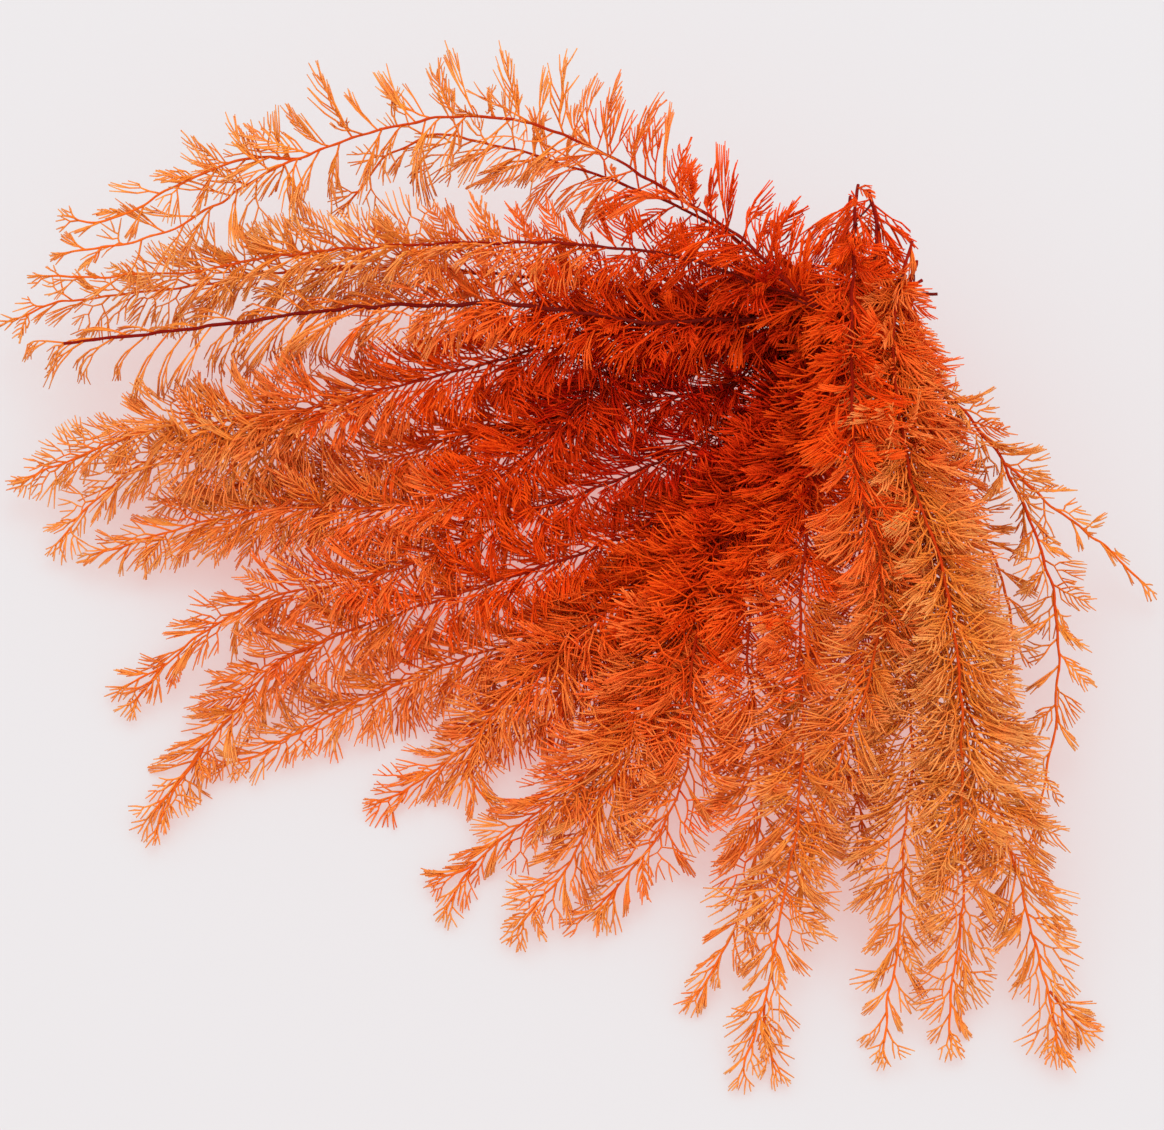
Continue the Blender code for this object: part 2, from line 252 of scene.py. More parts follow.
def dyedHorn():
    made = bpy.data.materials.new("dyedHorn")
    made.use_nodes = True
    nodes, links = made.node_tree.nodes, made.node_tree.links
    shader = nodes["Principled BSDF"]
    growth = nodes.new("ShaderNodeUVMap")
    growth.uv_map = "OFBake"
    apart = nodes.new("ShaderNodeSeparateXYZ")
    links.new(growth.outputs["UV"], apart.inputs["Vector"])
    along, tone = apart.outputs["X"], apart.outputs["Y"]
    aged = addRamp(nodes, links, dye["oldAndShaded"], along)
    # the map's height picks older, grown or young dye, and so also paints shade in the middle of the bunch
    # and light at its top and edges
    for age, tones in dye["ages"]:
        share = addRange(nodes, links, tone, tones, (0.0, 1.0))
        aged = addMix(nodes, links, "MIX", share, aged, addRamp(nodes, links, dye[age], along))

    # the dye took unevenly from place to place
    place = nodes.new("ShaderNodeTexCoord")
    mottle = nodes.new("ShaderNodeTexNoise")
    mottle.inputs["Scale"].default_value = 1.0 / dye["mottleSize"]
    mottle.inputs["Detail"].default_value = dye["mottleDetail"]
    links.new(place.outputs["Object"], mottle.inputs["Vector"])
    uneven = addRange(nodes, links, mottle.outputs["Fac"], dye["mottleFrom"], (0.0, dye["mottleDepth"]))

    # rows of tiny cups along every thread
    phase = addMath(nodes, links, "MULTIPLY", along, 2.0 * math.pi * dye["cupsAlong"])
    cups = addMath(nodes, links, "SINE", phase)
    rims = addRange(nodes, links, cups, (-1.0, 1.0), (dye["cupDepth"], 0.0))
    depth = addMath(nodes, links, "ADD", uneven, rims)
    dyed = addMix(nodes, links, "MULTIPLY", depth, aged, (*dye["deep"], 1.0))
    links.new(dyed, shader.inputs["Base Color"])
    bump = nodes.new("ShaderNodeBump")
    bump.inputs["Strength"].default_value = dye["cupRelief"]
    bump.inputs["Distance"].default_value = dye["cupHeight"]
    links.new(cups, bump.inputs["Height"])
    links.new(bump.outputs["Normal"], shader.inputs["Normal"])

    shader.inputs["Roughness"].default_value = dye["roughness"]
    shader.inputs["Specular IOR Level"].default_value = dye["shine"]
    return made


horn = dyedHorn()
print("dyed horn ready")

# Places that each frond passes through: pixels of the photograph, and mm above the surface
fronds = {
    "frond_01": (
        (884, 352, 66), (803, 297, 70), (741, 238, 78), (671, 193, 84), (572, 137, 87), (469, 116, 85),
        (370, 133, 79), (268, 173, 69), (166, 232, 57), (52, 254, 47),
    ),
    "frond_02": (
        (858, 184, 74), (853, 250, 75), (852, 340, 73), (853, 440, 70), (864, 500, 66), (881, 560, 59),
        (880, 620, 52), (862, 700, 43), (833, 780, 32), (812, 850, 20), (793, 905, 11),
    ),
    "frond_03": (
        (912, 243, 67), (893, 330, 69), (902, 430, 68), (921, 505, 65), (944, 575, 60), (956, 650, 53),
        (962, 740, 43), (963, 840, 31), (961, 920, 19), (950, 1000, 9), (949, 1058, 4),
    ),
    "frond_04": (
        (850, 352, 62.5), (886, 367, 64), (930, 382, 61), (983, 432, 53), (1012, 480, 45), (1040, 550, 35),
        (1058, 625, 27), (1057, 690, 22), (1049, 755, 16), (1032, 852, 8),
    ),
    "frond_05": (
        (904, 310, 57), (830, 304, 60), (760, 285, 65), (687, 260, 70), (590, 245, 73), (480, 243, 73),
        (400, 246, 69), (293, 254, 61), (190, 270, 51), (100, 276, 43), (32, 276, 37),
    ),
    "frond_06": (
        (870, 190, 64), (885, 290, 61.3), (893, 400, 59), (900, 500, 56), (905, 600, 49), (911, 690, 41),
        (912, 770, 34), (904, 850, 25), (900, 930, 15), (887, 1010, 7), (884, 1064, 4),
    ),
    "frond_07": (
        (872, 330, 52), (800, 288, 57), (735, 238, 63), (671, 203, 68), (607, 178, 71), (515, 151, 72),
        (440, 136, 68), (385, 160, 61), (340, 215, 52),
    ),
    "frond_08": (
        (915, 262, 54), (905, 350, 55), (915, 450, 54), (935, 550, 50), (955, 640, 45), (972, 720, 38),
        (993, 785, 32), (1013, 860, 24), (1034, 939, 14), (1050, 1000, 7), (1057, 1066, 4),
    ),
    "frond_09": (
        (938, 294, 47.5), (905, 297, 48), (830, 322, 49), (740, 320, 53), (652, 322, 57), (526, 306, 61),
        (420, 305, 62), (332, 310, 58), (240, 322, 52), (153, 333, 45), (64, 343, 38),
    ),
    "frond_10": (
        (850, 196, 49.5), (838, 300, 46.2), (822, 420, 45), (806, 540, 44), (800, 640, 39), (803, 740, 32),
        (796, 830, 24), (778, 930, 13), (762, 1010, 7), (738, 1088, 3),
    ),
    "frond_11": (
        (900, 268, 43), (800, 300, 44), (690, 298, 49), (590, 285, 52), (500, 274, 53), (400, 266, 52),
        (281, 272, 46), (204, 284, 40), (122, 296, 33), (60, 301, 27), (3, 326, 22),
    ),
    "frond_12": (
        (878, 236, 40.5), (850, 330, 39.8), (810, 430, 40), (765, 540, 38), (748, 640, 34), (755, 720, 29),
        (760, 800, 23), (755, 870, 15), (733, 930, 9), (704, 985, 5), (682, 1003, 4),
    ),
    "frond_13": (
        (912, 300, 36), (830, 318, 37), (760, 316, 40), (684, 322, 43), (593, 333, 45), (499, 361, 45),
        (402, 384, 43), (318, 408, 39), (230, 418, 33), (148, 430, 26), (77, 456, 19), (12, 485, 13),
    ),
    "frond_14": (
        (868, 262, 35), (830, 360, 33), (770, 470, 32), (715, 570, 30), (692, 670, 27), (688, 760, 21),
        (655, 840, 14), (618, 885, 8), (571, 931, 4),
    ),
    "frond_15": (
        (885, 318, 30.5), (800, 340, 31), (705, 330, 33), (627, 357, 35.5), (545, 438, 35.5), (479, 491, 32),
        (397, 508, 27), (306, 506, 23), (217, 519, 18), (133, 542, 12), (80, 558, 8),
    ),
    "frond_16": (
        (890, 245, 29), (850, 340, 27), (780, 440, 26), (715, 540, 25), (670, 640, 23), (640, 730, 19),
        (604, 795, 14), (569, 864, 9), (508, 940, 4),
    ),
    "frond_17": (
        (920, 280, 23), (830, 345, 24.6), (730, 385, 27.5), (640, 402, 29.5), (550, 418, 30), (466, 430, 29),
        (400, 458, 27), (320, 478, 22), (240, 492, 17), (150, 503, 11),
    ),
    "frond_18": (
        (885, 268, 21.5), (840, 355, 21.2), (770, 445, 21), (700, 540, 21), (655, 640, 20), (625, 735, 16),
        (571, 787, 12), (510, 832, 8), (470, 868, 5), (427, 884, 4),
    ),
    "frond_19": (
        (905, 325, 17.2), (820, 372, 18.2), (720, 430, 24), (620, 480, 28), (527, 512, 28), (433, 556, 25),
        (357, 581, 21), (268, 598, 16), (199, 637, 11), (158, 670, 7), (112, 692, 4),
    ),
    "frond_20": (
        (870, 300, 14.5), (810, 395, 15), (735, 480, 17.5), (650, 570, 19), (575, 640, 18), (510, 695, 15),
        (478, 735, 11), (470, 775, 7), (500, 815, 4),
    ),
    "frond_21": (
        (895, 345, 11.5), (810, 410, 12.3), (725, 480, 14.8), (640, 530, 20), (560, 560, 24), (470, 590, 21),
        (380, 620, 17), (284, 660, 12), (228, 720, 8), (180, 778, 5), (141, 829, 4),
    ),
    "frond_22": (
        (880, 360, 8), (800, 440, 9.6), (720, 520, 13), (650, 585, 14), (570, 625, 13), (460, 660, 11),
        (391, 686, 8), (318, 722, 6), (250, 757, 4), (212, 767, 3),
    ),
    "frond_23": (
        (862, 372, 5), (790, 460, 7), (720, 560, 9), (650, 640, 10), (580, 680, 10), (520, 715, 9),
        (460, 754, 6), (415, 783, 4), (369, 807, 3),
    ),
    "frond_24": (
        (902, 352, 33), (925, 420, 32), (950, 480, 29), (985, 540, 24), (1008, 600, 19), (1012, 660, 14),
        (1000, 720, 9),
    ),
    "frond_25": (
        (858, 400, 4), (864, 450, 1), (868, 510, 0), (862, 600, 0), (846, 690, 0), (842, 760, 0),
        (862, 820, 0), (858, 868, 0),
    ),
    "frond_01_fork": (
        (301, 160, 72), (255, 157, 70), (199, 176, 66), (143, 203, 60), (97, 222, 55), (62, 219, 51),
    ),
    "frond_04_fork": ((1001, 462, 48), (1032, 488, 43), (1074, 523, 32), (1113, 553, 19), (1151, 592, 8)),
    "frond_08_fork": ((1048, 990, 8), (1071, 1019, 6), (1093, 1039, 4)),
    "frond_10_fork": ((763, 1004, 7), (768, 1040, 5), (773, 1082, 3)),
    "frond_13_fork": (
        (330, 404, 40), (285, 436, 34), (215, 455, 28), (150, 460, 22), (102, 496, 14), (48, 551, 7),
    ),
    "frond_14_fork": ((618, 885, 8), (607, 905, 6), (604, 927, 4)),
    "frond_18_fork": ((476, 862, 5), (459, 889, 4), (437, 914, 3)),
    "frond_19_fork": ((166, 664, 8), (145, 690, 6), (128, 716, 4)),
    "frond_21_fork": ((205, 748, 7), (172, 795, 5), (155, 843, 4)),
}

# What sets a frond apart from the others. Its light value makes the whole of it lighter, and the afar one
# only what is far from its cut end; both are painted light, given to fronds on top of and round the edge of
# the bunch, where less shade falls. Reach and sparse multiply its fans' reach and their spacing. Standing
# fans stand away from the stem, a tent of plumes and ribbons hangs round the cut end, and a droop bends the
# fans down from a share of the stem's length onwards. A stem can be stouter than usual, or dark to its bare
# end.
habits = {
    "frond_01": {"light": 0.14, "paintedLightAfar": 0.3, "standing": True, "reach": 1.2, "sparse": 2.4},
    "frond_01_fork": {"light": 0.25, "sparse": 2.2},
    "frond_02": {"light": 0.12, "tent": True},
    "frond_03": {"light": 0.26},
    "frond_04": {"light": 0.45, "reach": 0.72, "sparse": 2.3},
    "frond_04_fork": {"light": 0.3, "reach": 0.68, "sparse": 2.0},
    "frond_05": {"paintedLightAfar": 0.4, "sparse": 1.9},
    "frond_06": {"light": 0.2, "tent": True},
    "frond_07": {"light": 0.14, "paintedLightAfar": 0.35, "standing": True, "reach": 1.2, "sparse": 2.1},
    "frond_08": {"light": 0.3},
    "frond_09": {
        "paintedLightAfar": 0.3,
        "dark": 1.2,
        "stout": 1.45,
        "droop": 1.4,
        "droopFrom": 0.6,
        "sparse": 1.2,
    },
    "frond_10": {"light": 0.05, "tent": True, "sparse": 1.1},
    "frond_11": {"paintedLightAfar": 0.35, "sparse": 1.5},
    "frond_12": {"sparse": 1.1},
    "frond_13": {"paintedLightAfar": 0.1, "sparse": 0.78},
    "frond_14": {"sparse": 0.95},
    "frond_15": {"sparse": 0.74},
    "frond_16": {"sparse": 0.85},
    "frond_17": {"sparse": 0.72},
    "frond_18": {"sparse": 0.85},
    "frond_19_fork": {"reach": 0.8, "sparse": 1.4},
    "frond_20": {"sparse": 0.75},
    "frond_21": {"sparse": 1.1},
    "frond_21_fork": {"reach": 0.75, "sparse": 1.6},
    "frond_22": {"sparse": 0.9},
    "frond_23": {"sparse": 0.75},
    "frond_24": {"light": 0.4, "reach": 0.78, "sparse": 2.2},
}

# How light a frond is. It is darker towards the deep middle of the bunch, where little light gets in, which
# is painted shade, and darker where the cut ends meet, which is older growth. A profile gives places, in mm
# from there, and values at them.
tones = {
    "shadedHeart": onPhoto(685, 350, 30),
    "cutEnds": onPhoto(872, 232, 50),
    "fromShadedHeart": (
        (0, 0.0),
        (25, 0.04),
        (45, 0.12),
        (70, 0.3),
        (90, 0.46),
        (120, 0.63),
        (150, 0.77),
        (180, 0.86),
        (220, 0.94),
        (260, 1.0),
    ),
    "fromCutEnds": ((0, 0.25), (18, 0.3), (30, 0.5), (40, 1.0)),
    "paintedLightFrom": (40.0, 110.0),
    "frondStray": 0.04,
    "fanStray": 0.06,
    "limits": (0.01, 0.97),
    "mapWidth": 0.02,
}


def valueAt(profile, place):
    return np.interp(place, *zip(*profile))


def shadedToneAt(places):
    # painted shade: darker towards the deep middle of the bunch; darker older growth near the cut ends
    fromShadedHeart = np.linalg.norm(places - tones["shadedHeart"], axis=-1) / mm
    fromCutEnds = np.linalg.norm(places - tones["cutEnds"], axis=-1) / mm
    return np.minimum(valueAt(tones["fromShadedHeart"], fromShadedHeart), valueAt(tones["fromCutEnds"], fromCutEnds))


def unit(vectors):
    return vectors / np.linalg.norm(vectors, axis=-1, keepdims=True)


def acrossStem(forward):
    # the level direction across a stem, and the one over it
    level = unit(np.cross(forward, upright))
    return level, np.cross(level, forward)


def smoothLine(places, steps=20):
    # a Catmull-Rom line through the places
    points = np.array([onPhoto(*place) for place in places])
    padded = np.vstack([2 * points[0] - points[1], points, 2 * points[-1] - points[-2]])
    shares = (np.arange(steps) / steps)[:, None]
    runs = []
    for a, b, c, d in zip(padded, padded[1:], padded[2:], padded[3:]):
        bend = (2 * a - 5 * b + 4 * c - d) * shares**2 + (3 * b - a - 3 * c + d) * shares**3
        runs.append((2 * b + (c - a) * shares + bend) / 2)
    return np.vstack([*runs, points[-1:]])


def lengthsAlong(line):
    return np.concatenate([[0.0], np.cumsum(np.linalg.norm(np.diff(line, axis=0), axis=1))])


class Growth:
    # corners, faces and map of one frond, joined as they grow
    def __init__(self):
        self.corners, self.faces, self.map = [], [], []
        self.count = 0

    def add(self, corners, faces, mapped):
        self.corners.append(corners)
        for group in faces:
            self.faces += [[corner + self.count for corner in face] for face in group]
        self.map.append(mapped)
        self.count += len(corners)

    def piece(self, name):
        mesh = bpy.data.meshes.new(name)
        mesh.from_pydata(np.vstack(self.corners).tolist(), [], self.faces)
        corner = np.empty(len(mesh.loops), np.int32)
        mesh.loops.foreach_get("vertex_index", corner)
        layer = mesh.uv_layers.new(name="OFBake")
        layer.data.foreach_set("uv", np.vstack(self.map)[corner].ravel())
        mesh.shade_smooth()
        mesh.materials.append(horn)
        made = bpy.data.objects.new(name, mesh)
        bpy.context.scene.collection.objects.link(made)
        return made


# Stems, and the short bare twigs that are left of side branches near the cut ends
stem = {
    "radiusAtCut": 0.64 * mm,
    "radiusAtTip": 0.4 * mm,
    "endsBeforeTip": 7.0 * mm,
    "forkTaperFrom": 0.6,
    "stoutFrom": 0.5,
    "step": 1.8 * mm,
    "fewestRings": 6,
    "sides": 7,
    "stray": 0.72 * mm,
    "straySmoothed": 3,
    "knots": 0.12,
    "twigs": 3,
    "twigsAt": (5.0 * mm, 26.0 * mm),
    "twigSlant": (0.35, 0.8),
    "twigLength": (4.0 * mm, 12.0 * mm),
    "twigRadii": (0.5 * mm, 0.3 * mm),
    "twigRings": 6,
    "twigCurve": 0.12,
}


def stemShape(points, radii):
    # draws a closed ring out along the points, and gives its corners ring by ring, and its faces
    shape = bmesh.new()
    sides = stem["sides"]
    ring = bmesh.ops.create_circle(shape, cap_ends=True, segments=sides, radius=1.0)["verts"]
    level, over = acrossStem(unit(np.gradient(points, axis=0)))
    turns = 2 * math.pi * np.arange(sides) / sides
    front = next(iter(shape.faces))
    for i in range(len(points)):
        if i:
            drawn = bmesh.ops.extrude_discrete_faces(shape, faces=[front])["faces"]
            front = drawn[0]
            ring = list(front.verts)
        for corner, turn in zip(ring, turns):
            corner.co = points[i] + radii[i] * (level[i] * math.cos(turn) + over[i] * math.sin(turn))
    shape.verts.ensure_lookup_table()
    bmesh.ops.holes_fill(shape, edges=[edge for edge in shape.edges if edge.is_boundary], sides=sides)
    bmesh.ops.recalc_face_normals(shape, faces=shape.faces)
    shape.verts.index_update()
    corners = np.array([vert.co for vert in shape.verts])
    faces = [[vert.index for vert in face.verts] for face in shape.faces]
    shape.free()
    return corners, faces


def growRod(growth, points, radii, share, tone):
    # one stem or twig through the points, with its place on the dye's ramps for every ring
    points[:, 2] = np.maximum(points[:, 2], radii)
    corners, faces = stemShape(points, radii)
    rings = np.repeat(np.arange(len(points)), stem["sides"])
    around = np.tile(np.arange(stem["sides"]) / stem["sides"], len(points))
    tone = np.clip(tone, *tones["limits"])[rings] + tones["mapWidth"] * around
    growth.add(corners, [faces], np.column_stack([share[rings] * dye["stemShare"], tone]))


def growStem(growth, line, marks, taperFrom, lighter, habit):
    end = marks[-1] - (0 if "dark" in habit else stem["endsBeforeTip"])
    wanted = np.linspace(0, end, max(stem["fewestRings"], round(end / stem["step"])))
    points = np.stack([np.interp(wanted, marks, line[:, k]) for k in range(3)], axis=1)
    stray = random.normal(0, 1, (len(wanted), 3))
    for _ in range(stem["straySmoothed"]):
        stray = (stray + np.roll(stray, 1, axis=0) + np.roll(stray, -1, axis=0)) / 3
    points = points + stray * stem["stray"]
    share = taperFrom + (1 - taperFrom) * wanted / marks[-1]
    radii = stem["radiusAtCut"] + (stem["radiusAtTip"] - stem["radiusAtCut"]) * share
    radii = radii * (1 + stem["knots"] * random.uniform(-1, 1, len(radii)))
    radii = radii * (1 + (habit.get("stout", 1.0) - 1) * np.minimum(1, share / stem["stoutFrom"]))
    # the stem takes the painted shade of the bunch's middle and its frond's painted light
    growRod(growth, points, radii, share, shadedToneAt(points) + lighter)
    return points, wanted


def growTwigs(growth, points, stations, forwards):
    rings = stem["twigRings"]
    for _ in range(stem["twigs"]):
        i = int(np.argmin(np.abs(stations - random.uniform(*stem["twigsAt"]))))
        turned = random.normal(0, 1, 3)
        aside = unit(turned - forwards[i] * (turned @ forwards[i]))
        aside[2] = abs(aside[2])
        slant = random.uniform(*stem["twigSlant"])
        length = random.uniform(*stem["twigLength"])
        along = np.linspace(0, length, rings)[:, None]
        curve = random.normal(0, stem["twigCurve"], 3) * along**2 / length
        places = points[i] + (forwards[i] * math.cos(slant) + aside * math.sin(slant)) * along + curve
        growRod(growth, places, np.linspace(*stem["twigRadii"], rings), np.zeros(rings), np.zeros(rings))


# The threads of a fan, which starts as a flat pattern: chains of (along, across, over, radius), where the
# first three are shares of the fan's reach
thread = {
    "radius": 0.36 * mm,
    "rootRadius": 0.45 * mm,
    "beads": 0.08,
    "endThin": 0.65,
}

# A fan whose threads fork again and again. A thread's share is its place across the opening, -1 to 1.
forking = {
    "lean": 0.15,
    "shareStray": 0.35,
    "roundness": 0.12,
    "reachStray": (-0.13, 0.0),
    "overStray": 0.05,
    "firstStretch": 1.6,
    "leastStretch": 0.03,
    "lastFork": 0.75,
    "split": (0.25, 0.75),
    "thinAt": 0.5,
    "branchRadius": 0.9,
    "curvedFrom": 0.3,
    "curvedAt": 0.45,
}


def forkedFan(tips, opening, stretch):
    opening = random.uniform(*opening)
    lean = random.uniform(-forking["lean"], forking["lean"])
    shares = np.linspace(-1, 1, tips) + random.normal(0, forking["shareStray"] / tips, tips)
    reaches = 1.0 + lean * shares - forking["roundness"] * shares**2
    reaches = reaches + random.uniform(*forking["reachStray"], tips)
    overs = random.normal(0, forking["overStray"], tips)
    chains = []

    def place(along, share, over, radius):
        aim = opening * share
        return (along * math.cos(aim), along * math.sin(aim), over * along, radius)

    def growEnd(tip, along, share, over, chain):
        # the last run of a thread, with a curve in it where it is long
        left = reaches[tip] - along
        for step in (forking["curvedAt"], 1.0) if left > forking["curvedFrom"] else (1.0,):
            eased = share + (shares[tip] - share) * (1 - (1 - step) ** 2)
            raised = over + (overs[tip] - over) * step
            chain.append(place(along + left * step, eased, raised, thread["radius"]))
        chains.append(chain)

    def grow(first, last, along, share, over, chain):
        left = last - first
        if left == 1:
            growEnd(first, along, share, over, chain)
            return
        limit = max(forking["lastFork"] * reaches[first:last].min(), along + forking["leastStretch"])
        fork = along + random.uniform(*stretch) * (forking["firstStretch"] if along == 0 else 1.0)
        fork = min(fork, limit)
        forkShare, forkOver = shares[first:last].mean(), overs[first:last].mean()
        thick = max(0, 1 - fork / forking["thinAt"])
        radius = thread["radius"] + (thread["rootRadius"] - thread["radius"]) * thick
        chain.append(place(fork, forkShare, forkOver, radius))
        branch = [place(fork, forkShare, forkOver, thread["radius"] * forking["branchRadius"])]
        split = first + int(np.clip(round(left * random.uniform(*forking["split"])), 1, left - 1))
        halves = sorted([(first, split), (split, last)], key=lambda half: half[0] - half[1])
        grow(*halves[0], fork, forkShare, forkOver, chain)
        grow(*halves[1], fork, forkShare, forkOver, branch)

    grow(0, tips, 0.0, 0.0, 0.0, [place(0.0, 0.0, 0.0, thread["rootRadius"])])
    return chains


# A fan like a feather: curved barbs on both sides of a swaying middle thread, with some of the barbs forked
feather = {
    "rings": 7,
    "sway": 0.02,
    "thinAt": 0.6,
    "uneven": 0.25,
    "rootsFrom": 0.07,
    "rootsOver": 0.85,
    "rootStray": (0.2, 0.8),
    "lengthAtRoot": 0.60,
    "lengthLoss": 0.3,
    "lengthStray": (0.85, 1.1),
    "angleLoss": 0.35,
    "angleStray": (0.85, 1.15),
    "tilt": 0.14,
    "radiusStray": (0.9, 1.05),
    "startTurn": (1.0, 1.45),
    "endTurn": (0.4, 1.0),
    "twinEvery": 4,
    "twinTurn": 0.2,
}


def featherFan(barbs, angle):
    stations = np.linspace(0, 1, feather["rings"])
    sway = np.cumsum(random.normal(0, feather["sway"], len(stations))) * (stations > 0)
    radii = np.interp(stations, (0, feather["thinAt"]), (thread["rootRadius"], thread["radius"]))
    chains = [np.column_stack([stations, sway, 0 * sway, radii])]
    angle = math.radians(random.uniform(*angle))
    uneven = random.uniform(-feather["uneven"], feather["uneven"])

    def halfBarb(aim, tilt, length):
        return np.array([math.cos(aim), math.sin(aim), tilt]) * length / 2

    for i in range(barbs):
        strayed = i + random.uniform(*feather["rootStray"])
        root = feather["rootsFrom"] + feather["rootsOver"] * strayed / barbs
        side = 1 if i % 2 else -1
        length = feather["lengthAtRoot"] - feather["lengthLoss"] * root
        length *= (1 + uneven * side) * random.uniform(*feather["lengthStray"])
        aim = side * angle * random.uniform(*feather["angleStray"]) * (1 - feather["angleLoss"] * root)
        tilt = random.normal(0, feather["tilt"])
        radius = thread["radius"] * random.uniform(*feather["radiusStray"])
        start = np.array([root, np.interp(root, stations, sway), 0.0])
        middle = start + halfBarb(aim * random.uniform(*feather["startTurn"]), tilt, length)
        end = middle + halfBarb(aim * random.uniform(*feather["endTurn"]), tilt, length)
        chains.append([(*place, radius) for place in (start, middle, end)])
        if i % feather["twinEvery"] == 0:
            twin = middle + halfBarb(aim * feather["twinTurn"], tilt, length)
            chains.append([(*middle, radius), (*twin, radius)])
    return chains


def asPattern(chains):
    # one fan of three-sided threads as arrays: their centres in shares of the reach, their corners' offsets
    # from those in metres, the place of each corner round its thread, and the faces
    parts = {key: [] for key in ("centres", "offsets", "around", "quads", "triangles")}
    count = 0
    turns = np.arange(3) / 3
    farthest = max(math.hypot(*chain[-1][:2]) for chain in chains)
    for chain in chains:
        chain = np.array(chain, dtype=float)
        rings = len(chain)
        tangents = unit(np.gradient(chain[:, :2], axis=0))
        beads = 1.0 + thread["beads"] * np.where(np.arange(rings) % 2, 1.0, -1.0)
        beads[-1] *= thread["endThin"]
        sideways = (chain[:, 3] * beads)[:, None] * np.cos(2 * math.pi * turns)
        upwards = (chain[:, 3] * beads)[:, None] * np.sin(2 * math.pi * turns)
        offsets = np.stack([-tangents[:, 1:] * sideways, tangents[:, :1] * sideways, upwards], axis=-1)
        parts["offsets"].append(offsets.reshape(-1, 3))
        parts["centres"].append(np.repeat(chain[:, :3], 3, axis=0) / farthest)
        parts["around"].append(np.tile(turns, rings))
        first = count + 3 * np.arange(rings - 1)[:, None]
        here, after = np.arange(3)[None, :], (np.arange(3)[None, :] + 1) % 3
        quads = np.stack([first + here, first + after, first + after + 3, first + here + 3], axis=-1)
        parts["quads"].append(quads.reshape(-1, 4))
        end = count + 3 * (rings - 1)
        parts["triangles"].append(np.array([[end, end + 1, end + 2], [count + 2, count + 1, count]]))
        count += 3 * rings
    return {key: np.concatenate(value) for key, value in parts.items()}


# The kinds of fan: open feathers, narrow plumes, forked fans, fans folded into ribbons, and sprigs. Each has
# patterns in three sizes, from big to small, for fans with more than that size's reach. The threads are the
# fewest and the most that a pattern of each size has.
fanSizes = (("big", 18.0 * mm), ("middle", 12.0 * mm), ("small", 0.0))
patternsOfKind = 14
kinds = {
    "feather": {
        "make": featherFan,
        "manner": {"angle": (28, 42)},
        "threads": ((17, 20), (12, 15), (7, 10)),
    },
    "plume": {
        "make": featherFan,
        "manner": {"angle": (12, 24)},
        "threads": ((12, 15), (8, 11), (5, 7)),
    },
    "forked": {
        "make": forkedFan,
        "manner": {"opening": (0.42, 0.75), "stretch": (0.08, 0.17)},
        "threads": ((13, 17), (8, 11), (5, 6)),
    },
    "folded": {
        "make": forkedFan,
        "manner": {"opening": (0.09, 0.17), "stretch": (0.08, 0.19)},
        "threads": ((9, 12), (7, 9), (4, 5)),
    },
    "sprig": {
        "make": forkedFan,
        "manner": {"opening": (0.24, 0.42), "stretch": (0.13, 0.22)},
        "threads": ((7, 9), (5, 7), (3, 4)),
    },
}
patterns = {}
for kind, form in kinds.items():
    for (size, _), (fewest, most) in zip(fanSizes, form["threads"]):
        numbers = random.integers(fewest, most + 1, patternsOfKind)
        made = [asPattern(form["make"](int(number), **form["manner"])) for number in numbers]
        patterns[kind, size] = made
        counts = [2 * len(pattern["quads"]) + len(pattern["triangles"]) for pattern in made]
        print("fan patterns:", size, kind, "with about", round(np.mean(counts)), "triangles each")


def anyPattern(kind, reach):
    size = next(size for size, above in fanSizes if reach > above)
    choice = patterns[kind, size]
    return choice[int(random.integers(len(choice)))]


# Fans on the stems. A profile gives places, in mm from a frond's cut end or tip, and values at them, where
# reach and spacing are in mm and slant in degrees. Chances are those of the kinds of fan, in their order.
fan = {
    "firstAt": 2.5 * mm,
    "firstOnFork": 4.0 * mm,
    "forksFromCut": 100.0,
    "reachFromCut": ((0, 16.0), (15, 18.0), (30, 21.0), (45, 26.0)),
    "reachFromTip": ((0, 9.0), (8, 11.5), (20, 15.5), (40, 20.0), (75, 26.0)),
    "reachOfFrond": (0.88, 1.08),
    "reachStray": (0.8, 1.08),
    "spacingFromCut": ((0, 2.4), (30, 1.65), (45, 1.4), (110, 1.4), (130, 1.55)),
    "spacingFromTip": ((0, 4.4), (35, 3.7), (70, 2.4), (95, 1.55)),
    "spacingStray": (0.7, 1.3),
    "sparseFrom": (35.0, 80.0),
    "slantFromCut": ((0, 12.0), (12, 20.0), (25, 34.0), (40, 42.0)),
    "slantFromTip": ((0, 20.0), (30, 30.0), (70, 38.0), (110, 42.0)),
    "slantStanding": 15.0,
    "slantStray": 0.12,
    "leastSlant": 0.15,
    "turnFromCut": ((0, 1.4), (40, 1.0), (80, 0.7), (120, 0.5)),
    "turnFromTip": ((0, 0.2), (80, 0.35), (130, 0.5)),
    "nearTip": 90.0,
    "chancesInside": (0.32, 0.14, 0.34, 0.20, 0.0),
    "chancesStanding": (0.05, 0.55, 0.10, 0.30, 0.0),
    "chancesNearTip": (0.0, 0.14, 0.14, 0.22, 0.50),
    "bend": (0.1, 0.9),
    "bendNearTip": (-0.1, 0.5),
    "bendsNearTipFrom": 0.2,
    "bendsBack": 0.3,
    "bendsDown": 0.2,
    "bendStray": 0.3,
    "roll": 0.6,
    "rollAtTip": 0.3,
    "twist": 0.4,
    "cup": (-1.0, 1.0),
    "leastBend": 0.02,
    "nudge": 1e-6,
    "downTo": 0.85,
    "upTo": 0.7,
    "aboveSurface": 0.3 * mm,
    "pressed": 0.5,
}

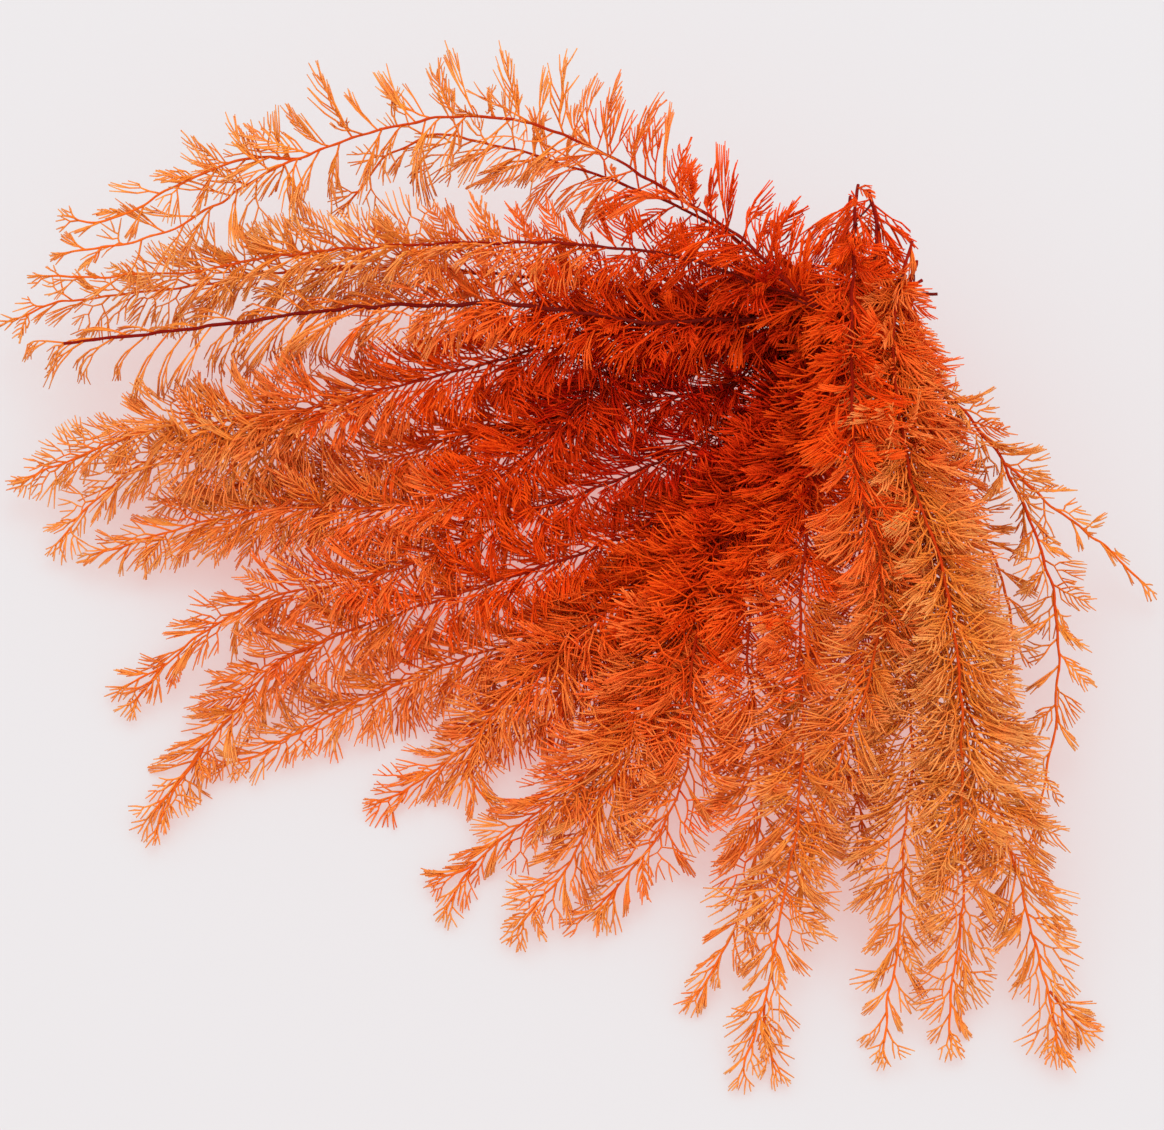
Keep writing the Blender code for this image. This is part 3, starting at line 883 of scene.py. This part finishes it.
# The plumes and ribbons round a cut end, which reach farther and open into a tent at some cut ends
tassel = {
    "to": 14.0,
    "chances": (0.0, 0.5, 0.0, 0.5, 0.0),
    "bend": (0.2, 0.8),
    "bendsForward": 0.5,
    "tentSlant": ((0, 60.0), (8, 50.0), (14, 35.0)),
    "tentReach": 24.0 * mm,
    "tentReachStray": (0.6, 1.1),
}

# Folded fans that hang from the outer part of a stem
hanging = {
    "chances": (0.0, 0.0, 0.0, 1.0, 0.0),
    "reach": 33.0 * mm,
    "reachStray": (0.7, 1.1),
    "wayStray": 0.1,
    "bendStray": (0.7, 1.2),
}

# The pair of sprigs that a stem ends in, side by side
tip = {
    "turn": (0.08, 0.3),
    "reach": (1.2, 1.5),
    "bend": (-0.4, 0.4),
    "cup": 0.3,
}


def growFan(growth, pattern, base, way, across, reach, bendTo, bend, cup, tone):
    # sets the flat fan on the stem, cups and twists it, and bends it towards a direction
    over = np.cross(way, across)
    x, y, z = pattern["centres"].T
    twist = random.normal(0, fan["twist"]) * x
    z = z + cup * y**2
    y, z = y * np.cos(twist) - z * np.sin(twist), y * np.sin(twist) + z * np.cos(twist)
    local = np.column_stack([np.zeros_like(x), y, z]) * reach
    local = (local + pattern["offsets"]) @ np.stack([way, across, over])
    aside = unit(bendTo - way * (bendTo @ way))
    normal = np.cross(way, aside)
    bend = bend if abs(bend) > fan["leastBend"] else fan["leastBend"]
    turned = (bend * x)[:, None]
    onward = way * np.cos(turned) + aside * np.sin(turned)
    aslant = aside * np.cos(turned) - way * np.sin(turned)
    middle = base + (way * np.sin(turned) + aside * (1 - np.cos(turned))) * reach / bend
    corners = middle + (local @ way)[:, None] * onward + (local @ aside)[:, None] * aslant
    corners += (local @ normal)[:, None] * normal
    lowest = fan["aboveSurface"] + fan["pressed"] * pattern["offsets"][:, 2]
    corners[:, 2] = np.maximum(corners[:, 2], lowest)
    along = dye["fansFrom"] + (1 - dye["fansFrom"]) * np.clip(np.hypot(x, y), 0, 1)
    toned = np.clip(tone, *tones["limits"]) + tones["mapWidth"] * pattern["around"]
    faces = [pattern["quads"].tolist(), pattern["triangles"].tolist()]
    growth.add(corners, faces, np.column_stack([along, toned]))


def leaving(spot, side, habit):
    # the angle at which a fan leaves its stem, and the direction straight out from the stem there
    fromCut, fromTip = spot["fromCut"], spot["fromTip"]
    slant = min(valueAt(fan["slantFromCut"], fromCut), valueAt(fan["slantFromTip"], fromTip))
    if fromCut < tassel["to"] and "tent" in habit:
        slant = valueAt(tassel["tentSlant"], fromCut)
    elif "standing" in habit:
        slant += fan["slantStanding"]
    slant = max(math.radians(slant) + random.normal(0, fan["slantStray"]), fan["leastSlant"])
    nearCut = valueAt(fan["turnFromCut"], fromCut)
    turn = random.normal(0, nearCut if fromTip > fromCut else valueAt(fan["turnFromTip"], fromTip))
    level, over = acrossStem(spot["forward"])
    return slant, side * level * math.cos(turn) + over * math.sin(turn)


def fanForm(spot, radial, habit, frondReach):
    # a fan's reach, the chances of its kinds, and the direction and the angle by which it bends
    fromCut, fromTip = spot["fromCut"], spot["fromTip"]
    reach = min(valueAt(fan["reachFromCut"], fromCut), valueAt(fan["reachFromTip"], fromTip)) * mm
    reach *= frondReach * random.uniform(*fan["reachStray"])
    usual = np.array(fan["chancesStanding" if "standing" in habit else "chancesInside"])
    chances = usual + (fan["chancesNearTip"] - usual) * spot["tipShare"]
    bendTo = radial - fan["bendsBack"] * spot["forward"] - fan["bendsDown"] * upright
    bendTo = bendTo + random.normal(0, fan["bendStray"], 3)
    nearTip = spot["tipShare"] > fan["bendsNearTipFrom"]
    bend = random.uniform(*fan["bendNearTip" if nearTip else "bend"])
    if fromCut < tassel["to"]:
        chances = tassel["chances"]
        if "tent" in habit:
            reach = tassel["tentReach"] * random.uniform(*tassel["tentReachStray"])
        bendTo = tassel["bendsForward"] * spot["forward"] - upright
        bend = random.uniform(*tassel["bend"])
    elif "droop" in habit and spot["share"] > habit["droopFrom"]:
        chances = hanging["chances"]
        reach = hanging["reach"] * random.uniform(*hanging["reachStray"])
        bendTo = random.normal(0, hanging["wayStray"], 3) - upright
        bend = habit["droop"] * random.uniform(*hanging["bendStray"])
    return reach, chances, bendTo, bend


def fanPlane(spot, slant, radial, reach):
    # the direction of a fan and the one across it, between the surface and the top of the bunch
    forward, height = spot["forward"], spot["base"][2]
    way = forward * math.cos(slant) + radial * math.sin(slant)
    lowest = -fan["downTo"] * height / reach
    highest = fan["upTo"] * (cadHigh[2] - height) / reach
    way[2] = np.clip(way[2], lowest, highest)
    way = unit(way)
    level, _ = acrossStem(forward)
    inPlane = unit(forward - way * (forward @ way) + fan["nudge"] * level)
    beside = np.cross(way, inPlane)
    roll = random.normal(0, fan["roll"] + (fan["rollAtTip"] - fan["roll"]) * spot["tipShare"])
    return way, inPlane * math.cos(roll) + beside * math.sin(roll)


def growTip(growth, base, forward, tone):
    level, over = acrossStem(forward)
    for side in (-1, 1):
        turn = side * random.uniform(*tip["turn"])
        way = forward * math.cos(turn) + level * math.sin(turn)
        reach = stem["endsBeforeTip"] * random.uniform(*tip["reach"])
        bend = random.uniform(*tip["bend"])
        pattern = anyPattern("sprig", reach)
        growFan(growth, pattern, base, way, np.cross(way, over), reach, level, bend, tip["cup"], tone)


def growFrond(name, places):
    habit = habits.get(name, {})
    line = smoothLine(places)
    marks = lengthsAlong(line)
    growth = Growth()
    isFork = name.endswith("fork")
    # a frond's tone strays at random, and its light value adds painted light
    frondTone = random.normal(0, tones["frondStray"]) + habit.get("light", 0.0)
    stemTone = frondTone - habit.get("dark", 0.0)
    taperFrom = stem["forkTaperFrom"] if isFork else 0.0
    points, stations = growStem(growth, line, marks, taperFrom, stemTone, habit)
    forwards = unit(np.gradient(points, axis=0))
    frondReach = random.uniform(*fan["reachOfFrond"]) * habit.get("reach", 1.0)
    if not isFork:
        growTwigs(growth, points, stations, forwards)

    at = fan["firstOnFork"] if isFork else fan["firstAt"]
    side = 1
    while at < stations[-1]:
        side = -side
        i = int(np.argmin(np.abs(stations - at)))
        base = points[i]
        fromCut = at / mm + (fan["forksFromCut"] if isFork else 0.0)
        fromTip = (marks[-1] - at) / mm
        spot = {
            "base": base,
            "forward": forwards[i],
            "share": at / marks[-1],
            "fromCut": fromCut,
            "fromTip": fromTip,
            "tipShare": max(0.0, 1 - fromTip / fan["nearTip"]),
        }
        slant, radial = leaving(spot, side, habit)
        reach, chances, bendTo, bend = fanForm(spot, radial, habit, frondReach)
        kind = random.choice(list(kinds), p=chances)
        way, across = fanPlane(spot, slant, radial, reach)
        cup = random.uniform(*fan["cup"])
        # The fan's tone: painted shade in the middle of the bunch, older growth near the cut ends, a random
        # stray, and painted light on fronds at the top and edges of the bunch, more of it far from the cut
        # end.
        afarLit = habit.get("paintedLightAfar", 0.0) * np.interp(fromCut, tones["paintedLightFrom"], (0.0, 1.0))
        tone = shadedToneAt(base) + frondTone + afarLit + random.normal(0, tones["fanStray"])
        growFan(growth, anyPattern(kind, reach), base, way, across, reach, bendTo, bend, cup, tone)
        spacing = max(valueAt(fan["spacingFromCut"], fromCut), valueAt(fan["spacingFromTip"], fromTip))
        sparse = np.interp(fromCut, fan["sparseFrom"], (1.0, habit.get("sparse", 1.0)))
        at += spacing * mm * sparse * random.uniform(*fan["spacingStray"])
    if "dark" not in habit:
        # the tips take the same painted shade and painted light as the fans
        growTip(growth, points[-1], forwards[-1], shadedToneAt(points[-1]) + frondTone)
    return growth.piece(name + "_grown")


triangles = 0
for name, places in fronds.items():
    grown = growFrond(name, places)
    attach(grown, "root")
    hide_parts(name)
    triangles += sum(len(face.vertices) - 2 for face in grown.data.polygons)
print("fronds grown:", len(fronds), "with", triangles, "triangles")
